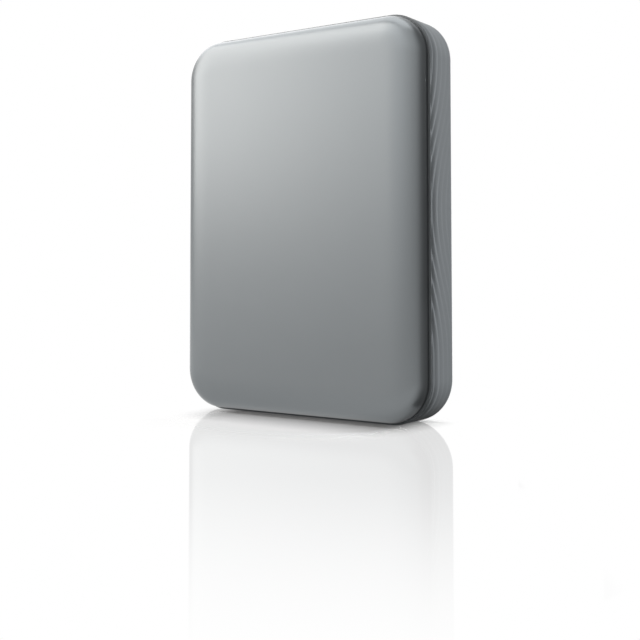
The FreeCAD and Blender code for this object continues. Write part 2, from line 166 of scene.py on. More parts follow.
class Wiring:
    """Adds nodes to a tree, sets them up and links them."""

    def __init__(self, tree: bpy.types.NodeTree) -> None:
        """Keeps the tree."""
        self.tree = tree

    @classmethod
    def fresh(cls, owner: bpy.types.ID) -> "Wiring":
        """Clears the nodes of a material or a world.

        Args:
            owner: The material or the world.

        Returns:
            The wiring of its empty tree.
        """
        owner.use_nodes = True
        owner.node_tree.nodes.clear()
        return cls(owner.node_tree)

    def add(self, kind: str, settings: Mapping[str, Any] | None = None,
            inputs: Mapping[Any, Any] | None = None) -> bpy.types.Node:
        """Adds one node.

        Args:
            kind: The node's type.
            settings: Properties, which are set first; "stops" fills a ramp.
            inputs: Values or links by the input's name or number.

        Returns:
            The node.
        """
        node = self.tree.nodes.new(kind)
        for key, value in (settings or {}).items():
            if key == "stops":
                ramp = node.color_ramp
                for index, (place, colour) in enumerate(value):
                    stop = ramp.elements[index] if index < 2 else ramp.elements.new(place)
                    stop.position = place
                    stop.color = (*colour, 1.0)
            else:
                setattr(node, key, value)
        for key, value in (inputs or {}).items():
            self.put(node.inputs[key], value)
        return node

    def put(self, socket: bpy.types.NodeSocket, value: Any) -> None:
        """Links a socket to another, or sets its number or colour.

        Args:
            socket: The input.
            value: An output to link it to, or what it is set to.
        """
        if isinstance(value, Value):
            self.tree.links.new(value.socket, socket)
        elif isinstance(value, bpy.types.NodeSocket):
            self.tree.links.new(value, socket)
        elif socket.type == "RGBA" and len(value) == 3:
            socket.default_value = (*value, 1.0)
        else:
            socket.default_value = value

    def out(self, node: bpy.types.Node, key: Any) -> Value:
        """Wraps a node's output for arithmetic."""
        return Value(self, node.outputs[key])

    def mix(self, share: Any, first: Any, second: Any) -> bpy.types.NodeSocket:
        """Mixes two colours and gives the result's socket."""
        node = self.add("ShaderNodeMix", {"data_type": "RGBA"}, {0: share, 6: first, 7: second})
        return node.outputs[2]

    def noise(self, where: Any, feature: float, detail: float = 2.0) -> Value:
        """Gives a noise from 0 to 1 with features of a size in mm."""
        inputs = {"Vector": where, "Scale": 1.0 / (feature * MM), "Detail": detail}
        return self.out(self.add("ShaderNodeTexNoise", None, inputs), 0)

    def matt(self, level: float) -> bpy.types.NodeSocket:
        """Gives a matt grey surface that throws back a share of the light."""
        return self.add("ShaderNodeBsdfDiffuse", None, {"Color": (level,) * 3}).outputs[0]

    def glow(self, level: float, colour: Any = WHITE) -> bpy.types.NodeSocket:
        """Gives a surface that glows at a level in a colour."""
        return self.add("ShaderNodeEmission", None, {"Color": colour, "Strength": level}).outputs[0]

    def blend(self, share: Any, first: Any, second: Any) -> bpy.types.NodeSocket:
        """Mixes two surfaces and gives the result's socket."""
        return self.add("ShaderNodeMixShader", None, {0: share, 1: first, 2: second}).outputs[0]

    def end(self, surface: bpy.types.NodeSocket) -> None:
        """Ends a material with its surface."""
        self.add("ShaderNodeOutputMaterial", None, {"Surface": surface})

    def seen(self) -> Value:
        """Tells what is seen from what only lights.

        Returns:
            1 for rays from the camera, from gloss and through clear pieces, else 0.
        """
        path = self.add("ShaderNodeLightPath")
        camera, gloss, clear = (self.out(path, f"Is {ray} Ray") for ray in ("Camera", "Glossy", "Transmission"))
        return (camera + gloss + clear).least(1.0)


@dataclass(frozen=True)
class Finish:
    """A moulded or coated surface with a fine grain and a faint drift of tone.

    Attributes:
        name: The material's name.
        colour: Base colour, linear.
        roughness: Mean roughness.
        metallic: Share of metal.
        specular: Specular level of the part that is not metal.
        grain: Size of the grain, mm.
        grain_depth: Depth of the grain, mm.
        drift: Size of the patches of tone, mm.
        spread: How far the tone strays to either side, as a share.
        rough_spread: How far the roughness strays.
    """

    name: str
    colour: Colour
    roughness: float
    metallic: float = 0.0
    specular: float = 0.5
    grain: float = 0.25
    grain_depth: float = 0.004
    drift: float = 9.0
    spread: float = 0.03
    rough_spread: float = 0.04

    def material(self) -> bpy.types.Material:
        """Makes the material, unless it was made before.

        Returns:
            The material.
        """
        found = bpy.data.materials.get(self.name)
        if found:
            return found
        made = bpy.data.materials.new(self.name)
        wiring = Wiring.fresh(made)
        where = wiring.add("ShaderNodeTexCoord").outputs["Object"]
        wiring.end(wiring.add("ShaderNodeBsdfPrincipled", None, self.surface(wiring, where)).outputs[0])
        return made

    def tone(self, low: float, high: float) -> tuple[Colour, Colour]:
        """Gives the base colour darkened and lightened by two factors."""
        return tuple(c * low for c in self.colour), tuple(min(c * high, 1.0) for c in self.colour)

    def grain_height(self, wiring: Wiring, where: Any) -> Value:
        """Gives the height of the grain, from 0 to 1."""
        return wiring.noise(where, self.grain, GRAIN_DETAIL)

    def surface(self, wiring: Wiring, where: Any) -> dict[str, Any]:
        """Works out the shader's inputs.

        Args:
            wiring: The material's nodes.
            where: Object coordinates.

        Returns:
            Values and links by the shader's input.
        """
        grain = self.grain_height(wiring, where)
        patch = wiring.noise(where, self.drift)
        dark, light = self.tone(1.0 - self.spread, 1.0 + self.spread)
        colour = wiring.mix(patch * PATCH_SHARE + grain * (1.0 - PATCH_SHARE), dark, light)
        bump = wiring.add("ShaderNodeBump", None,
                          {"Strength": 1.0, "Distance": self.grain_depth * MM, "Height": grain})
        return {
            "Base Color": colour,
            "Roughness": self.roughness + (patch + grain - 1.0) * self.rough_spread,
            "Metallic": self.metallic,
            "Specular IOR Level": self.specular,
            "Normal": bump.outputs[0],
        }


@dataclass(frozen=True)
class DrawnMetal(Finish):
    """Sheet metal with fine drawing lines along the height.

    Attributes:
        metallic: Share of metal.
        stretch: How many times longer than wide the lines are.
    """

    metallic: float = 1.0
    stretch: float = 14.0

    def grain_height(self, wiring: Wiring, where: Any) -> Value:
        """Works out the lines, which run along Z.

        Args:
            wiring: The material's nodes.
            where: Object coordinates.

        Returns:
            The height of the lines, from 0 to 1.
        """
        scale = (1.0, 1.0, 1.0 / self.stretch)
        drawn = wiring.add("ShaderNodeMapping", None, {"Vector": where, "Scale": scale})
        return wiring.noise(drawn.outputs[0], self.grain, GRAIN_DETAIL)


@dataclass(frozen=True)
class Laminate(Finish):
    """A board's lacquer over a glass weave.

    Attributes:
        weave: Size of the weave, mm.
    """

    weave: float = 0.5

    def grain_height(self, wiring: Wiring, where: Any) -> Value:
        """Works out the weave under the lacquer.

        Args:
            wiring: The material's nodes.
            where: Object coordinates.

        Returns:
            The height of the weave, from 0 to 1.
        """
        split = wiring.add("ShaderNodeSeparateXYZ", None, {0: where})
        turns = 2.0 * math.pi / (self.weave * MM)
        across = (wiring.out(split, 0) * turns).cos()
        along = (wiring.out(split, 2) * turns).cos()
        return (across * along + 1.0) * 0.5


@dataclass(frozen=True)
class ClearPlastic(Finish):
    """A clear moulded plastic.

    Attributes:
        clearness: Share of light that goes through.
        index: Index of refraction.
    """

    clearness: float = 0.85
    index: float = 1.49

    def surface(self, wiring: Wiring, where: Any) -> dict[str, Any]:
        """Adds the clearness to the moulded surface.

        Args:
            wiring: The material's nodes.
            where: Object coordinates.

        Returns:
            Values and links by the shader's input.
        """
        inputs = super().surface(wiring, where)
        inputs["Transmission Weight"] = self.clearness
        inputs["IOR"] = self.index
        return inputs


FINISHES: dict[Slot, Finish] = {
    Slot.COVER: Finish("cover_satin", (0.166, 0.1785, 0.1850), 0.33, metallic=0.9, grain=0.12,
                       grain_depth=0.0012, spread=0.012, rough_spread=0.02),
    Slot.BAND: Finish("band_matt", (0.198, 0.214, 0.226), 0.55, specular=0.4, grain=0.22,
                      grain_depth=0.006, spread=0.03),
    Slot.FOOT: Finish("foot_rubber_grey", (0.040, 0.041, 0.043), 0.82, specular=0.25, grain=0.3,
                      grain_depth=0.012, spread=0.08),
    Slot.BUMPER: Finish("bumper_rubber_black", (0.022, 0.022, 0.024), 0.85, specular=0.25, grain=0.4,
                        grain_depth=0.012, spread=0.10),
    Slot.MODULE: DrawnMetal("module_sheet", (0.56, 0.57, 0.58), 0.36, grain=0.10, grain_depth=0.002),
    Slot.BOARD: Laminate("board_lacquer", (0.010, 0.060, 0.030), 0.38, grain_depth=0.006, spread=0.10),
    Slot.CHIP: Finish("chip_black", (0.018, 0.018, 0.020), 0.62, specular=0.35, grain=0.12,
                      grain_depth=0.004, spread=0.10),
    Slot.PAD: Finish("pad_blue_grey", (0.25, 0.33, 0.40), 0.78, specular=0.3, grain=0.5,
                     grain_depth=0.010, spread=0.06),
    Slot.CONNECTOR: Finish("connector_black", (0.020, 0.020, 0.022), 0.50, specular=0.4, grain=0.15,
                           grain_depth=0.003, spread=0.08),
    Slot.COIL: Finish("coil_grey", (0.075, 0.075, 0.080), 0.60, grain=0.10, grain_depth=0.004, spread=0.08),
    Slot.CAPACITOR: Finish("capacitor_tan", (0.34, 0.22, 0.12), 0.50, grain=0.08, grain_depth=0.002,
                           spread=0.06),
    Slot.PORT: DrawnMetal("port_bright", (0.60, 0.60, 0.61), 0.24, grain=0.08, grain_depth=0.001),
    Slot.CONTACT: DrawnMetal("contact_gold", (0.83, 0.60, 0.26), 0.26, grain=0.06, grain_depth=0.001),
    Slot.LIGHT: Finish("light_white", (0.72, 0.72, 0.69), 0.42, grain=0.10, grain_depth=0.002),
    Slot.PIPE: ClearPlastic("pipe_frosted", (0.88, 0.90, 0.92), 0.22, grain=0.20, grain_depth=0.002),
}


def lofted(name: str, rings: Sequence[Ring], looped: bool = False) -> bpy.types.Mesh:
    """Joins closed rings of points into a closed skin.

    Args:
        name: The mesh's name.
        rings: Rings of the same length, in order.
        looped: Whether the last ring joins the first again, in place of flat ends.

    Returns:
        A mesh whose faces point outwards.
    """
    count, levels = len(rings[0]), len(rings)
    faces: list[Sequence[int]] = []
    if not looped:
        faces += [range(count), range(count * (levels - 1), count * levels)]
    for level in range(levels if looped else levels - 1):
        base, above = level * count, (level + 1) % levels * count
        for index in range(count):
            after = (index + 1) % count
            faces.append((base + index, base + after, above + after, above + index))
    mesh = bpy.data.meshes.new(name)
    mesh.from_pydata([point for ring in rings for point in ring], [], faces)
    work = bmesh.new()
    work.from_mesh(mesh)
    bmesh.ops.recalc_face_normals(work, faces=work.faces)
    work.to_mesh(mesh)
    work.free()
    return mesh


def placed(name: str, data: bpy.types.ID) -> bpy.types.Object:
    """Puts a mesh, a lamp or a camera in the scene at the origin.

    Args:
        name: The object's name.
        data: What it shows.

    Returns:
        The object.
    """
    made = bpy.data.objects.new(name, data)
    bpy.context.scene.collection.objects.link(made)
    return made


def direction(side: float, rise: float) -> Vector:
    """The way to a point round the drive.

    Args:
        side: Angle to the right of straight ahead of the front, degrees.
        rise: Angle above the floor, degrees.

    Returns:
        A vector of length 1.
    """
    turn, lift = math.radians(side), math.radians(rise)
    return Vector((math.sin(turn) * math.cos(lift), -math.cos(turn) * math.cos(lift), math.sin(lift)))


def smoothed(mesh: bpy.types.Mesh, crease: float = 32.0) -> bpy.types.Mesh:
    """Shades a mesh smooth, apart from its creases.

    Args:
        mesh: The mesh.
        crease: Angle that a crease is sharper than, degrees.

    Returns:
        The mesh.
    """
    mesh.shade_smooth()
    mesh.set_sharp_from_angle(angle=math.radians(crease))
    return mesh


def arc(centre: Pair, radius: float, start: float, end: float, steps: int) -> list[Pair]:
    """Points of an arc in the (inset, depth) plane.

    Args:
        centre: Middle of the arc.
        radius: Its radius.
        start: First angle in degrees: 0 faces out of the side, 90 faces the front, -90 the back.
        end: Last angle.
        steps: Number of steps.

    Returns:
        Points from start to end.
    """
    angles = [math.radians(start + (end - start) * step / steps) for step in range(steps + 1)]
    return [(centre[0] - radius * math.cos(a), centre[1] - radius * math.sin(a)) for a in angles]


@dataclass(frozen=True)
class Outline:
    """The case's outline seen from the front, a rectangle with round corners, in mm.

    Attributes:
        width: Size across.
        height: Size up.
        radius: Radius of the corners.
        side_steps: Steps along each long side.
        end_steps: Steps along each end.
        corner_steps: Steps round each corner.
    """

    width: float = 89.0
    height: float = 120.0
    radius: float = 13.0
    side_steps: int = 12
    end_steps: int = 8
    corner_steps: int = 36

    def columns(self) -> list[tuple[float, float, float]]:
        """Goes round the outline from the right.

        Returns:
            Centre of curvature and aim of each point, as x, z and an angle.
        """
        half_x, half_z = self.width / 2 - self.radius, self.height / 2 - self.radius
        middle = self.height / 2
        centres = [(half_x, middle + half_z), (-half_x, middle + half_z),
                   (-half_x, middle - half_z), (half_x, middle - half_z)]
        made = []
        for turn, (x, z) in enumerate(centres):
            start = turn * math.pi / 2
            for step in range(self.corner_steps):
                made.append((x, z, start + math.pi / 2 * step / self.corner_steps))
            next_x, next_z = centres[(turn + 1) % 4]
            steps = self.side_steps if turn % 2 else self.end_steps
            for step in range(steps):
                share = step / steps
                made.append((x + (next_x - x) * share, z + (next_z - z) * share, start + math.pi / 2))
        return made

    def ring(self, inset: float, y: float) -> Ring:
        """The outline taken in by an inset, at a depth y."""
        reach = self.radius - inset
        return [Vector((x + reach * math.cos(a), y, z + reach * math.sin(a))) * MM
                for x, z, a in self.columns()]


def slot_ring(middle: Pair, size: Pair, grow: float, z: float, steps: int = 20) -> Ring:
    """A slot with round ends, level at a height.

    Args:
        middle: Its middle across and in depth, mm.
        size: Its length and its width, mm.
        grow: How far it is widened all round, mm.
        z: Its height, mm.
        steps: Steps round each end.

    Returns:
        The ring of points.
    """
    radius = size[1] / 2
    reach = size[0] / 2 - radius
    made = []
    for sign in (1, -1):
        for step in range(steps + 1):
            angle = math.pi * (step / steps - 0.5) + (0 if sign > 0 else math.pi)
            made.append(Vector((middle[0] + sign * reach + (radius + grow) * math.cos(angle),
                                middle[1] + (radius + grow) * math.sin(angle), z)) * MM)
    return made


class RuleTree:
    """A geometry node tree with named inputs, which is run on a mesh and baked."""

    def __init__(self, name: str, inputs: Mapping[str, float]) -> None:
        """Makes the tree and its inputs.

        Args:
            name: The tree's name.
            inputs: The sizes by name, in metres.
        """
        self.tree = bpy.data.node_groups.new(name, "GeometryNodeTree")
        self.values = dict(inputs)
        face = self.tree.interface
        face.new_socket("Geometry", in_out="INPUT", socket_type="NodeSocketGeometry")
        face.new_socket("Geometry", in_out="OUTPUT", socket_type="NodeSocketGeometry")
        self.keys = {key: face.new_socket(key, in_out="INPUT", socket_type="NodeSocketFloat").identifier
                     for key in inputs}
        self.wiring = Wiring(self.tree)
        self.start = self.wiring.add("NodeGroupInput")

    def size(self, name: str) -> Value:
        """A named input, for arithmetic."""
        return self.wiring.out(self.start, name)

    def stored(self, name: str, kind: str) -> bpy.types.NodeSocket:
        """A named attribute of the mesh."""
        node = self.wiring.add("GeometryNodeInputNamedAttribute", {"data_type": kind}, {"Name": name})
        return next(socket for socket in node.outputs if socket.enabled)

    def close(self, geometry: bpy.types.NodeSocket, material: bpy.types.Material) -> None:
        """Ends the tree with plain geometry that has its finish.

        Args:
            geometry: What the tree has made.
            material: The finish.
        """
        real = self.wiring.add("GeometryNodeRealizeInstances", None, {"Geometry": geometry})
        dressed = self.wiring.add("GeometryNodeSetMaterial", None,
                                  {"Geometry": real.outputs[0], "Material": material})
        self.wiring.add("NodeGroupOutput", None, {0: dressed.outputs[0]})

    def bake(self, name: str, mesh: bpy.types.Mesh) -> bpy.types.Object:
        """Runs the tree on a mesh.

        Args:
            name: The new piece's name.
            mesh: What the tree starts from.

        Returns:
            A piece with a plain mesh and no modifier.
        """
        base = placed(name + "_base", mesh)
        modifier = base.modifiers.new(self.tree.name, "NODES")
        modifier.node_group = self.tree
        for key, value in self.values.items():
            modifier[self.keys[key]] = value
        graph = bpy.context.evaluated_depsgraph_get()
        baked = bpy.data.meshes.new_from_object(base.evaluated_get(graph), depsgraph=graph)
        base.modifiers.remove(modifier)
        bpy.data.objects.remove(base)
        baked.name = name
        return placed(name, baked)


class Assembly(ABC):
    """A sub-assembly that builds its pieces and dresses them and its CAD nodes."""

    @abstractmethod
    def build(self) -> list[bpy.types.Object]:
        """Builds the pieces that stand for CAD nodes."""

    def dress(self) -> list[str]:
        """Dresses the CAD nodes that are shown as they are, by default none, and gives their names."""
        return []

    @staticmethod
    def mount(piece: bpy.types.Object, slot: Slot, nodes: Iterable[str]) -> bpy.types.Object:
        """Finishes a piece, hangs it on the root body and hides the CAD nodes that it stands for.

        Args:
            piece: The piece, in place.
            slot: The slot that it takes its finish from.
            nodes: The CAD nodes that it replaces.

        Returns:
            The piece.
        """
        piece.data.materials.clear()
        piece.data.materials.append(FINISHES[slot].material())
        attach(piece, "root")
        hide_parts(*nodes)
        return piece

    @staticmethod
    def coat(slots: Mapping[str, Slot]) -> list[str]:
        """Gives CAD nodes their finishes.

        Args:
            slots: The slots by the nodes' names.

        Returns:
            The nodes' names.
        """
        for name, slot in slots.items():
            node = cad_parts[name]
            node.data.materials.clear()
            node.data.materials.append(FINISHES[slot].material())
        return list(slots)


@dataclass
class FrontCover(Assembly):
    """The pillowed front shell with the lip that holds it, in mm.

    Attributes:
        front: Depth of the front face.
        seam: Depth of the seam.
        inset: How far the shell stays inside the band.
        tight: Radius of the roll's tight arc, at the side.
        turn: Angle that the crown before it turns through, degrees.
        start: Inset at which that crown starts.
        power: Power of the way along it with which it turns.
        edge: Round at the seam's edge.
        wall: Wall.
        bevel: Width and depth of the bevel inside.
        lip: Outer and inner inset of the lip.
        lip_height: How far the lip goes behind the seam.
        lip_root: How far the lip's root goes before it.
        steps: Steps along the crown, the tight arc and the round at the edge.
    """

    front: float = -10.6
    seam: float = -4.2
    inset: float = 0.7
    tight: float = 4.6
    turn: float = 22.0
    start: float = 12.5
    power: float = 2.5
    edge: float = 0.15
    wall: float = 2.0
    bevel: Pair = (2.6, 2.6)
    lip: Pair = (2.1, 3.3)
    lip_height: float = 3.0
    lip_root: float = 1.5
    steps: tuple[int, int, int] = (24, 16, 4)

    def crown(self, end: float) -> list[Pair]:
        """Goes along the roll's slow start, which turns more and more.

        Args:
            end: Inset at which it ends.

        Returns:
            Points from the flat front to the tight arc.
        """
        steps = self.steps[0]
        step_length = (self.start - end) / steps
        points = [(self.start, self.front)]
        for step in range(steps):
            angle = math.radians(self.turn) * ((step + 0.5) / steps) ** self.power
            points.append((points[-1][0] - step_length, points[-1][1] + step_length * math.tan(angle)))
        return points

    def profile(self) -> list[Pair]:
        """Goes along the shell's section, from the front's middle round to the inside.

        Returns:
            Points as inset and depth.
        """
        angle = math.radians(self.turn)
        points = self.crown(self.inset + self.tight * (1.0 - math.sin(angle)))
        tight_middle = (self.inset + self.tight, points[-1][1] + self.tight * math.cos(angle))
        inner = self.inset + self.wall
        back = self.front + self.wall
        points += arc(tight_middle, self.tight, 90 - self.turn, 0, self.steps[1])[1:]
        points += arc((self.inset + self.edge, self.seam - self.edge), self.edge, 0, -90, self.steps[2])
        points += [(self.lip[0], self.seam), (self.lip[0], self.seam + self.lip_height),
                   (self.lip[1], self.seam + self.lip_height), (self.lip[1], self.seam - self.lip_root),
                   (inner, self.seam - self.lip_root), (inner, back + self.bevel[1]),
                   (inner + self.bevel[0], back)]
        return points

    def build(self) -> list[bpy.types.Object]:
        """Builds the shell.

        Returns:
            The one piece.
        """
        outline = Outline()
        mesh = lofted("cover_shell", [outline.ring(inset, y) for inset, y in self.profile()])
        return [self.mount(placed("cover_shell", smoothed(mesh)), Slot.COVER, ["front_cover"])]


@dataclass(frozen=True)
class WaveRibs:
    """The sizes of the wave ribs, in mm.

    Attributes:
        pitch: Distance from line to line, in depth.
        first_line: Depth of the first line where it runs level.
        steep_width: Width of a line's steep flank.
        slow_width: Width of its slow flank.
        front_depth: How deep the lines are at the front.
        back_depth: How deep they are at the back.
        front_limit: Depth at which they start.
        back_limit: Depth at which they end.
        front_ease: Length over which they start.
        back_ease: Length over which they end.
        middle: Height of the case's middle.
        side_rise: How far the lines swing to the front on the long sides.
        side_reach: Half the length of that swing.
        side_lift: How far above the middle its crest is.
        end_rise: How far they swing to the front on the ends.
        end_reach: Half the length of that swing.
        field_left: Left edge of the bare field round the port.
        field_right: Right edge of the field.
        field_low: Height above which the field is bare.
        field_ease: Length over which the lines fade into the field.
    """

    pitch: float = 2.7
    first_line: float = -2.8
    steep_width: float = 0.8
    slow_width: float = 1.8
    front_depth: float = 1.0
    back_depth: float = 0.03
    front_limit: float = -3.95
    back_limit: float = 7.7
    front_ease: float = 0.4
    back_ease: float = 1.2
    middle: float = 60.0
    side_rise: float = 11.4
    side_reach: float = 43.4
    side_lift: float = 2.8
    end_rise: float = 7.2
    end_reach: float = 29.5
    field_left: float = -7.97
    field_right: float = 16.0
    field_low: float = 110.0
    field_ease: float = 1.0

    def inputs(self) -> dict[str, float]:
        """The sizes in metres, by the names of the tree's inputs."""
        return {name.replace("_", " ").title(): value * MM for name, value in asdict(self).items()}


@dataclass
class RearHousing(Assembly):
    """The tub with the grip band of wave ribs, in mm.

    Attributes:
        seam: Depth of the front rim.
        back: Depth of the back.
        floor: Depth of the floor inside.
        wall: Wall.
        rim: Round of the front rim.
        back_round: Round of the back edge.
        cap: How far inside its edge each flat face starts.
        rows: Step between rows of the band.
        steps: Steps along the back edge's round and the rim's.
        port: Middle of the port's window across and in depth.
        port_size: Length and width of the window.
        pipe: Middle of the light pipe's hole.
        pipe_radius: Its radius.
        soft_edge: Bevel of the window.
        pipe_edge: Share of that bevel at the pipe's hole.
        past: How far the cutting tools go past the wall.
        ribs: The wave ribs.
        fade: Power with which the ribs fade to the back.
        crease: Angle that a crease is sharper than, degrees.
    """

    seam: float = -4.2
    back: float = 10.0
    floor: float = 8.2
    wall: float = 2.0
    rim: float = 0.15
    back_round: float = 2.0
    cap: float = 1.0
    rows: float = 0.2
    steps: tuple[int, int] = (9, 5)
    port: Pair = (0.0, 3.17)
    port_size: Pair = (9.24, 3.56)
    pipe: Pair = (11.0, 4.0)
    pipe_radius: float = 0.88
    soft_edge: float = 0.25
    pipe_edge: float = 0.5
    past: float = 0.5
    ribs: WaveRibs = WaveRibs()
    fade: float = 6.0
    crease: float = 40.0

    def profile(self) -> list[tuple[float, float, float]]:
        """Goes along the tub's section, from the back round to the floor.

        Returns:
            Points as inset, depth and share of rib.
        """
        start, end = self.back - self.back_round, self.seam + self.rim
        plain = [(self.back_round + self.cap, self.back)]
        plain += arc((self.back_round, start), self.back_round, -90, 0, self.steps[0])[:-1]
        points = [(inset, y, 0.0) for inset, y in plain]
        count = math.ceil((start - end) / self.rows)
        points += [(0.0, start + (end - start) * row / count, 1.0) for row in range(count)]
        rim = arc((self.rim, end), self.rim, 0, 90, self.steps[1])
        inside = [(self.wall, self.seam), (self.wall, self.floor), (self.wall + self.cap, self.floor)]
        points += [(inset, y, 0.0) for inset, y in rim + inside]
        return points

    def tub(self) -> bpy.types.Mesh:
        """Makes the plain tub.

        Returns:
            Its mesh, with each point's outward aim and share of rib stored on it.
        """
        outline = Outline(side_steps=152, end_steps=100, corner_steps=28)
        profile = self.profile()
        mesh = lofted("grip_housing", [outline.ring(inset, y) for inset, y, _ in profile])
        aims = [(math.cos(a), 0.0, math.sin(a)) for _, _, a in outline.columns()]
        outward = mesh.attributes.new("outward", "FLOAT_VECTOR", "POINT")
        outward.data.foreach_set("vector", [part for _ in profile for aim in aims for part in aim])
        skin = mesh.attributes.new("skin", "FLOAT", "POINT")
        skin.data.foreach_set("value", [share for _, _, share in profile for _ in aims])
        return mesh

    def openings(self) -> list[bpy.types.Object]:
        """Makes the cutting tools for the port's window and the pipe's hole.

        Returns:
            The tools, with a bevel at the surface.
        """
        top = Outline().height
        levels = [(0.0, top - self.wall - self.past), (0.0, top - self.soft_edge),
                  (self.soft_edge, top), (self.soft_edge, top + self.past)]
        across = (2 * self.pipe_radius,) * 2
        tools = {
            "window_tool": [slot_ring(self.port, self.port_size, grow, z) for grow, z in levels],
            "hole_tool": [slot_ring(self.pipe, across, grow * self.pipe_edge, z) for grow, z in levels],
        }
        return [placed(name, lofted(name, rings)) for name, rings in tools.items()]

    def rib_tree(self, tools: Sequence[bpy.types.Object]) -> RuleTree:
        """Makes the tree that presses the wave ribs into the band and cuts the openings.

        Args:
            tools: Cutting tools.

        Returns:
            The tree, ready to bake.
        """
        tree = RuleTree("wave_ribs", self.ribs.inputs())
        wiring, size = tree.wiring, tree.size
        place = wiring.add("GeometryNodeInputPosition").outputs[0]
        split = wiring.add("ShaderNodeSeparateXYZ", None, {0: place})
        x, y, z = (wiring.out(split, axis) for axis in range(3))

        def swing(reach: Value, limit: Value, rise: Value) -> Value:
            """How far a line swings to the front at a reach from its crest."""
            return rise * (1.0 + ((abs(reach) / limit).least(1.0) * math.pi).cos()) * 0.5

        rise = swing(z - size("Middle") - size("Side Lift"), size("Side Reach"), size("Side Rise"))
        rise = rise + swing(x, size("End Reach"), size("End Rise"))
        turn = (y + rise - size("First Line")) / size("Pitch")
        off = (turn % 1.0) * size("Pitch")
        steep = size("Steep Width")
        valley = off.ease(0.0, steep) * (1.0 - off.ease(steep, steep + size("Slow Width")))
        forward = ((size("Back Limit") - y) / (size("Back Limit") - size("Front Limit"))).most(0.0).least(1.0)
        deep = size("Back Depth") + (size("Front Depth") - size("Back Depth")) * forward ** self.fade
        front = y.ease(size("Front Limit"), size("Front Limit") + size("Front Ease"))
        back = 1.0 - y.ease(size("Back Limit") - size("Back Ease"), size("Back Limit"))
        field = x.ease(size("Field Left") - size("Field Ease"), size("Field Left"))
        field = field * (1.0 - x.ease(size("Field Right"), size("Field Right") + size("Field Ease")))
        field = field * z.ease(size("Field Low"), size("Field Low") + size("Field Ease"))
        press = deep * valley * front * back * (1.0 - field)
        press = press * Value(wiring, tree.stored("skin", "FLOAT"))
        move = wiring.add("ShaderNodeVectorMath", {"operation": "SCALE"},
                          {0: tree.stored("outward", "FLOAT_VECTOR"), "Scale": 0.0 - press})
        pressed = wiring.add("GeometryNodeSetPosition", None,
                             {"Geometry": tree.start.outputs[0], "Offset": move.outputs[0]})
        cut = wiring.add("GeometryNodeMeshBoolean", {"operation": "DIFFERENCE", "solver": "EXACT"},
                         {"Mesh 1": pressed.outputs[0]})
        for tool in tools:
            shape = wiring.add("GeometryNodeObjectInfo", None, {"Object": tool})
            wiring.put(cut.inputs["Mesh 2"], shape.outputs["Geometry"])
        tree.close(cut.outputs[0], FINISHES[Slot.BAND].material())
        return tree

    def build(self) -> list[bpy.types.Object]:
        """Builds the tub.

        Returns:
            The one piece.
        """
        tools = self.openings()
        piece = self.rib_tree(tools).bake("grip_housing", self.tub())
        for tool in tools:
            bpy.data.objects.remove(tool)
        for name in ("outward", "skin"):
            if name in piece.data.attributes:
                piece.data.attributes.remove(piece.data.attributes[name])
        smoothed(piece.data, self.crease)
        return [self.mount(piece, Slot.BAND, ["rear_housing"])]


@dataclass
class RearFeet(Assembly):
    """Four rubber feet on the back, in mm.

    Attributes:
        size: Side of a foot.
        corner: Radius of its corners.
        soft: Round of its face's edge.
        soft_steps: Steps along that round.
        cap: How far inside the round the flat face starts.
        back: Depth of the back that it is stuck to.
        proud: How far it stands out.
        spread: Distance between feet across and up.
        middle: Height of the middle of the four.
    """

    size: float = 9.0
    corner: float = 2.0
    soft: float = 0.4
    soft_steps: int = 5
    cap: float = 0.5
    back: float = 10.0
    proud: float = 0.6
    spread: Pair = (63.0, 94.0)
    middle: float = 60.0

    def pad(self) -> bpy.types.Mesh:
        """Makes one foot about the origin.

        Returns:
            Its mesh, with a soft edge round its face.
        """
        outline = Outline(self.size, self.size, self.corner, side_steps=1, end_steps=1, corner_steps=10)
        face = self.back + self.proud
        section = [(0.0, self.back), (0.0, face - self.soft)]
        section += arc((self.soft, face - self.soft), self.soft, 0, -90, self.soft_steps)[1:]
        section += [(self.soft + self.cap, face)]
        drop = Vector((0.0, 0.0, self.size / 2)) * MM
        rings = [[point - drop for point in outline.ring(inset, y)] for inset, y in section]
        return lofted("foot_pad", rings)

    def tree(self) -> RuleTree:
        """Makes the tree that sets a foot at each corner of a rectangle.

        Returns:
            The tree, ready to bake.
        """
        tree = RuleTree("foot_places", {"Across": self.spread[0] * MM, "Up": self.spread[1] * MM,
                                        "Middle": self.middle * MM})
        wiring = tree.wiring
        grid = wiring.add("GeometryNodeMeshGrid", None,
                          {"Size X": tree.size("Across"), "Size Y": tree.size("Up"),
                           "Vertices X": 2, "Vertices Y": 2})
        lift = wiring.add("ShaderNodeCombineXYZ", None, {"Z": tree.size("Middle")})
        upright = wiring.add("GeometryNodeTransform", None,
                             {"Geometry": grid.outputs[0], "Translation": lift.outputs[0],
                              "Rotation": (math.pi / 2, 0.0, 0.0)})
        feet = wiring.add("GeometryNodeInstanceOnPoints", None,
                          {"Points": upright.outputs[0], "Instance": tree.start.outputs[0]})
        tree.close(feet.outputs[0], FINISHES[Slot.FOOT].material())
        return tree

    def build(self) -> list[bpy.types.Object]:
        """Builds the four feet.

        Returns:
            The four as one piece.
        """
        piece = self.tree().bake("rear_feet", self.pad())
        smoothed(piece.data)
        return [self.mount(piece, Slot.FOOT, [f"rear_foot_{number}" for number in range(1, 5)])]


